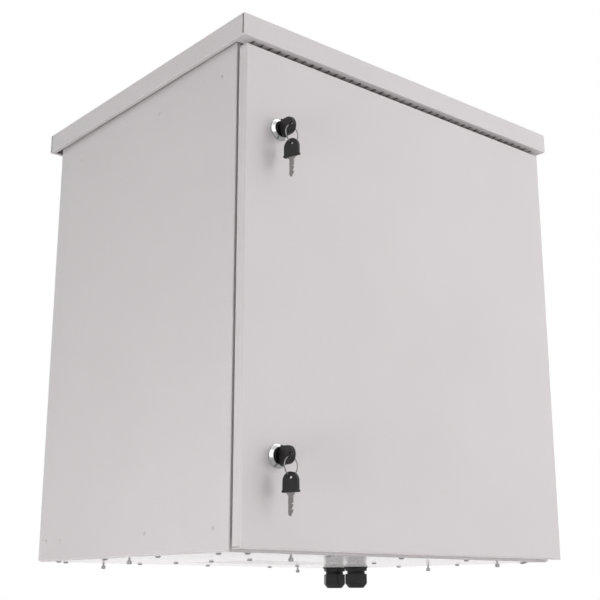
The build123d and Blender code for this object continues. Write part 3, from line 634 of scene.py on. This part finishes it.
def bezel_profile(back):
    """Lock housing: a threaded neck through the door and a sloping collar in front of it."""
    neck = [(PLUG_BORE, back), (HOUSING_THREAD - 0.6, back), (HOUSING_THREAD, back + 0.6)]
    neck += thread(HOUSING_THREAD, back + 1.0, -1.8, pitch=1.0, depth=0.45)[:-1]
    neck += [(HOUSING_NECK, -1.6), (HOUSING_NECK, -0.02)]
    collar = [(HOUSING_NECK, 0), (BEZEL_RADIUS - 0.4, 0), (BEZEL_RADIUS, 0.4), (BEZEL_RADIUS, 1.0),
              (BEZEL_RADIUS - 0.6, 1.6), (11.2, BEZEL_HEIGHT), (HOUSING_NECK, BEZEL_HEIGHT),
              (HEAD_BORE, BEZEL_HEIGHT - 0.3), (HEAD_BORE, HEAD_BORE_FLOOR + 0.1)]
    inside = [(HEAD_BORE, HEAD_BORE_FLOOR), (PLUG_BORE, HEAD_BORE_FLOOR)]
    return hollow(neck + rounded(collar, size=0.5) + inside)


def plug_profile(back):
    """Lock plug: a tail for the cam, the barrel, and a head with a ring groove in its face."""
    shoulder = back + TAIL_LENGTH
    barrel = [(0, back), (TAIL_RADIUS, back), (TAIL_RADIUS, shoulder), (PLUG_RADIUS, shoulder),
              (PLUG_RADIUS, PLUG_HEAD_FLOOR)]
    head = rounded([(PLUG_HEAD, PLUG_HEAD_FLOOR), (PLUG_HEAD, PLUG_HEAD_TOP - 0.5),
                    (PLUG_HEAD - 0.5, PLUG_HEAD_TOP), (8.3, PLUG_HEAD_TOP)], size=0.5)
    groove = [(8.0, PLUG_HEAD_TOP - 0.25), (7.5, PLUG_HEAD_TOP - 0.25), (7.2, PLUG_HEAD_TOP)]
    return barrel + head + groove + [(0, PLUG_HEAD_TOP)]


def locks():
    for level, turn in LOCK_TURN.items():
        housing, plug = f"{level}_lock_housing", f"{level}_lock_plug"
        x, _, z = centre(housing)
        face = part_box(housing)[0][1] + BEZEL_HEIGHT * MM
        at = place((x, face, z), (math.cos(turn), 0, math.sin(turn)), (0, -1, 0))
        turned = lathe(bezel_profile(BEZEL_HEIGHT - node_depth(housing)), LOCK_FACETS)
        piece(f"{level}_lock_bezel", [(at, *turned)], "lock_chrome", "door", housing, angle=50)
        turned = lathe(plug_profile(PLUG_HEAD_TOP - node_depth(plug)), LOCK_FACETS)
        core = piece(f"{level}_lock_core", [(at, *turned)], "lock_black", f"{level}_plug", plug, angle=40)
        carve(core, bare("keyway", [(at, *block(*KEYWAY))]))


# Keys and rings: a key is drawn flat, with its head up from y = 0 and its blade down

KEY_THICKNESS = 4.2
HEAD_HEIGHT = 24.7
ARCH_RADIUS = 11.3
EAR_REACH = 12.7
EAR_RADIUS = 1.6
BLADE_TIP = -27.6
BLADE_SIDE = 3.3
BLADE_THICKNESS = 1.8
GROOVE_X = (0.3, 1.5)
GROOVE_Y = (-24.5, -3.6)
GROOVE_Z = ((0.45, 2), (-2, -0.45))
SPARE_TURN = math.radians(77)
RING_TURN = math.radians(8)
RING_DROP = 0.6
RING_RADIUS = 11.5
RING_START = math.radians(-28)
RING_TURNS = 2
# Wire of the ring: half its height, its width against its height, and how steeply one turn meets the next
RING_WIRE = 0.40
RING_WIRE_WIDTH = 1.4
RING_CLIMB = 4.0


def head_outline():
    """Arch on a low bar with rounded ears."""
    right = arc(EAR_REACH - EAR_RADIUS, EAR_RADIUS, EAR_RADIUS, -90, 78, 8)
    right += arc(0, HEAD_HEIGHT - ARCH_RADIUS, ARCH_RADIUS, 0, 90, 14)
    return right + [(-x, y) for x, y in reversed(right)][1:]


def head_hole():
    """Triangle with rounded corners."""
    corners = [(0.0, 22.5), (-3.8, 16.6), (3.8, 16.6)]
    return rounded([corners[-1]] + corners + [corners[0]], size=1.2, steps=4)[1:-1]


def blade_outline():
    """A collar under the head, a plain back and an edge cut into teeth."""
    collar = [(3.5, 0.6), (3.5, 0), (5.4, 0), (5.4, -2.4), (4.9, -2.9), (BLADE_SIDE, -2.9)]
    back = [(-BLADE_SIDE, 3.4), (-3.0, 1.7), (-1.9, 0.5), (-0.84, 0)]
    teeth = [(0.1, 0.7), (3.5, 7.0), (0.9, 8.0), (1.2, 8.8), (3.5, 13.4), (0.9, 14.4), (1.2, 15.1),
             (BLADE_SIDE, 16.0)]
    above_tip = [(x, BLADE_TIP + y) for x, y in back + teeth]
    return [(-x, y) for x, y in collar] + above_tip + collar[::-1]


def key(name, at, stands_for):
    """A key's moulded head and steel blade, on the body that has the name of the key that they stand for."""
    shape = slab(head_outline(), head_hole(), KEY_THICKNESS)
    head = piece(f"{name}_grip", [(at, *shape)], "key_plastic", stands_for, f"{stands_for}_head", angle=30)
    soften(head, width=0.8, segments=3)
    shape = slab(blade_outline(), [], BLADE_THICKNESS)
    blade = piece(f"{name}_steel", [(at, *shape)], "key_steel", stands_for, f"{stands_for}_blade", angle=30)
    carve(blade, bare("grooves", [(at, *block(GROOVE_X, GROOVE_Y, span)) for span in GROOVE_Z]))
    soften(blade, width=0.15, segments=2)


def split_ring(level):
    """Spring ring: turns of flat wire that lie on each other, with their ends set off."""
    node = f"{level}_key_ring"
    cosine, sine = math.cos(RING_TURN), math.sin(RING_TURN)
    at = place(centre(node) - Vector((0, 0, RING_DROP * MM)), (cosine, sine, 0), (-sine, cosine, 0))
    sides, steps = 8, 176
    points, faces = [], []
    for i in range(steps + 1):
        way = i / steps
        angle = RING_START + RING_TURNS * 2 * math.pi * way
        lift = max(-RING_WIRE, min(RING_WIRE, (2 * way - 1) * RING_CLIMB))
        for k in range(sides):
            turn = 2 * math.pi * k / sides
            reach = RING_RADIUS + RING_WIRE_WIDTH * RING_WIRE * math.cos(turn)
            points.append((reach * math.cos(angle), reach * math.sin(angle),
                           lift + RING_WIRE * math.sin(turn)))
    for i in range(steps):
        for k in range(sides):
            a, b = i * sides + k, i * sides + (k + 1) % sides
            faces.append((a, b, b + sides, a + sides))
    faces += [tuple(range(sides)), tuple(range(steps * sides, (steps + 1) * sides))]
    piece(f"{level}_split_ring", [(at, points, faces)], "key_steel", f"{level}_ring", node, angle=60)


def keys():
    """In each lock a key that points out of the door, and on its ring a spare key that hangs down."""
    for level, turn in LOCK_TURN.items():
        x, _, z = centre(f"{level}_lock_housing")
        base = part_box(f"{level}_key_head")[1][1]
        at = place((x, base, z), (math.sin(turn), 0, -math.cos(turn)), (-math.cos(turn), 0, -math.sin(turn)))
        key(f"{level}_key", at, f"{level}_key")
        x, y, _ = centre(f"{level}_spare_key_head")
        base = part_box(f"{level}_spare_key_head")[0][2]
        cosine, sine = math.cos(SPARE_TURN), math.sin(SPARE_TURN)
        at = place((x, y, base), (cosine, -sine, 0), (-sine, -cosine, 0))
        key(f"{level}_spare", at, f"{level}_spare_key")
        split_ring(level)


# Cable glands: drawn upwards from the mouth of the dome nut

HEX_APOTHEM = 17.1
HEX_ROUNDING = 0.55
HEX_STOCK = 30
GLAND_FACETS = 192
NUT_MOUTH = 11.0
NUT_BORE = 15.65
NUT_HEIGHT = 23.4
GLAND_GAP = 5.0
FLANGE_HEIGHT = 6.6
FLANGE_HEX_HEIGHT = 3.6
STEM_BORE = 12.5
STEM_NECK = 15.2
STEM_THREAD = 15.5
PANEL_THREAD = 16.0


def hexagon(low, high):
    """Outline of a hexagon with rounded corners between two heights, cut by the turned profile's radius."""
    def reach(angle, r, h):
        if not low <= h <= high:
            return r
        turn = angle % math.radians(60) - math.radians(30)
        flat = HEX_APOTHEM / math.cos(turn)
        corner = HEX_APOTHEM / math.cos(math.radians(30)) - HEX_ROUNDING
        return min(flat, corner, r)
    return reach


def nut_profile():
    """Dome nut: a mouth for the cable, the dome, and a hexagon cut from round stock."""
    dome = rounded([(NUT_MOUTH, 0.0), (12.6, 0.0), (17.8, 6.2), (19.4, 8.2), (HEX_STOCK, 8.6)], size=0.7)
    back = [(HEX_STOCK, NUT_HEIGHT - 1.0), (19.0, NUT_HEIGHT - 0.6), (18.4, NUT_HEIGHT)]
    bore = [(NUT_BORE, NUT_HEIGHT), (NUT_BORE, 8.5), (NUT_MOUTH, 8.5)]
    return hollow(dome + back + bore)


def stem_profile(low, high):
    """Gland body: a thread for the nut, a flange with a hexagon, and a thread through the panel."""
    seat = low + FLANGE_HEIGHT
    stem = [(STEM_BORE, 9.0), (STEM_NECK, 9.0)]
    stem += thread(STEM_THREAD, 9.4, low - 0.2, pitch=1.8, depth=0.5)[:-1]
    flange = [(STEM_NECK, low), (18.4, low), (19.0, low + 0.6), (HEX_STOCK, low + 0.7),
              (HEX_STOCK, low + FLANGE_HEX_HEIGHT), (20.8, low + 6.0), (21.0, seat), (PANEL_THREAD, seat)]
    through = thread(PANEL_THREAD, seat + 0.4, high - 1.0, pitch=1.5, depth=0.6)
    return hollow(stem + flange + through + [(STEM_NECK, high), (STEM_BORE, high)])


def glands():
    for name in ("front", "rear"):
        nut, body = f"{name}_gland_nut", f"{name}_gland_body"
        x, y, _ = centre(nut)
        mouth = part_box(nut)[0][2]
        at = place((x, y, mouth), (1, 0, 0), (0, 0, 1))
        turned = lathe(nut_profile(), GLAND_FACETS, hexagon(0, NUT_HEIGHT))
        piece(f"{name}_gland_cap", [(at, *turned)], "gland_plastic", "cabinet", nut, angle=28)
        low, high = NUT_HEIGHT + GLAND_GAP, (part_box(body)[1][2] - mouth) / MM
        turned = lathe(stem_profile(low, high), GLAND_FACETS, hexagon(low, low + FLANGE_HEX_HEIGHT))
        piece(f"{name}_gland_stem", [(at, *turned)], "gland_plastic", "cabinet", body, angle=28)


# Screws and rivets

PAN_HEAD_RADIUS = 3.6
PAN_HEAD_HEIGHT = 1.8
PAN_HEAD_RECESS = 1.7
PAN_HEAD_TURN = 1.1
CAPTIVE_NECK = 1.6
CAPTIVE_WASHER = 2.7
CAPTIVE_HEAD = 3.2
CAPTIVE_HEAD_TOP = -4.0
CAPTIVE_HEAD_TIP = -8.6
KNURLS = 24
KNURL_DEPTH = 0.12
RIVET_HEAD = 0.9
RIVET_RADIUS = 2.8
RIVET_SHANK = 1.95


def under_bottom(node):
    """Places of a node's screws, each drawn with the bottom panel's underside as its z = 0."""
    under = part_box("bottom_panel")[0][2]
    return [place((middle.x, middle.y, under), (1, 0, 0), (0, 0, 1)) for middle in centres(node)]


def pan_head(radius, height, recess):
    """A pan head that hangs below zero, with a cross recess."""
    crown = -height * 1.02
    side = rounded([(radius, 0), (radius, -height * 0.45), (radius * 0.72, -height), (0.2, crown)],
                   size=radius * 0.3, steps=4)
    made = bare("head", [(AS_DRAWN, *lathe([(0, 0)] + side[:-1] + [(0, crown)], count=28))])
    arm, half = (-recess, recess), (-recess * 0.22, recess * 0.22)
    for xs, ys in ((arm, half), (half, arm)):
        carve(made, bare("cross", [(AS_DRAWN, *block(xs, ys, (-height * 2, -height * 0.45)))]))
    points = [tuple(v.co) for v in made.data.vertices]
    faces = [list(p.vertices) for p in made.data.polygons]
    bpy.data.objects.remove(made)
    return points, faces


def bottom_screws():
    """Pan head screws, each turned further than the one before it."""
    head = pan_head(PAN_HEAD_RADIUS, PAN_HEAD_HEIGHT, PAN_HEAD_RECESS)
    shank = lathe([(1.9, -0.1), (1.9, 6.9), (1.2, 7.7), (0, 7.7)], count=16)
    drawn = []
    for i, at in enumerate(under_bottom("bottom_panel_screws")):
        turned = at @ Matrix.Rotation(i * PAN_HEAD_TURN, 4, "Z")
        drawn += [(turned, *head), (turned, *shank)]
    piece("pan_head_screws", drawn, "zinc_steel", "cabinet", "bottom_panel_screws", angle=40)


def thumb_screws():
    """Captive screws: a washer above the panel, a slim neck, and a knurled, domed head."""
    turned = [(0, 4.4), (CAPTIVE_NECK, 4.4), (CAPTIVE_NECK, 4.2), (CAPTIVE_WASHER, 4.2),
              (CAPTIVE_WASHER, 2.7), (CAPTIVE_NECK, 2.7), (CAPTIVE_NECK, CAPTIVE_HEAD_TOP + 0.1)]
    turned += rounded([(CAPTIVE_NECK, CAPTIVE_HEAD_TOP), (CAPTIVE_HEAD, CAPTIVE_HEAD_TOP),
                       (CAPTIVE_HEAD, CAPTIVE_HEAD_TIP), (0.3, CAPTIVE_HEAD_TIP)],
                      size=1.1, steps=4)[1:-1]
    turned += [(0, CAPTIVE_HEAD_TIP)]

    def knurl(angle, r, h):
        on_side = CAPTIVE_HEAD_TIP + 0.7 < h < CAPTIVE_HEAD_TOP - 0.7 and r > CAPTIVE_HEAD - 0.2
        return r - KNURL_DEPTH * (1 + math.cos(angle * KNURLS)) if on_side else r

    shape = lathe(turned, KNURLS * 3, knurl)
    drawn = [(at, *shape) for at in under_bottom("captive_screws")]
    piece("thumb_screws", drawn, "zinc_steel", "cabinet", "captive_screws", angle=40)


def side_rivets():
    """Painted blind rivets: domed head with the mandrel's dimple, and a tail inside."""
    shape = lathe([(0, 0.35), (0.75, 0.35), (0.85, 0.02), (1.4, 0.05), (2.3, 0.35),
                   (RIVET_RADIUS, RIVET_HEAD), (RIVET_SHANK, RIVET_HEAD), (RIVET_SHANK, 3.9),
                   (RIVET_RADIUS, 3.9), (RIVET_RADIUS - 0.2, 5.7), (0, 5.7)], count=24)
    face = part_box("right_side_panel")[1][0] + RIVET_HEAD * MM
    drawn = []
    for middle in centres("channel_rivets"):
        side = 1 if middle.x > 0 else -1
        drawn.append((place((side * face, middle.y, middle.z), (0, 1, 0), (-side, 0, 0)), *shape))
    piece("panel_rivets", drawn, "grey_enamel", "cabinet", "channel_rivets", angle=40)


materials = dress_frame()
locks()
keys()
glands()
bottom_screws()
thumb_screws()
side_rivets()
world()
floor()
for lamp in LAMPS:
    softbox(*lamp)
camera()
bpy.context.scene.view_settings.view_transform = "Standard"
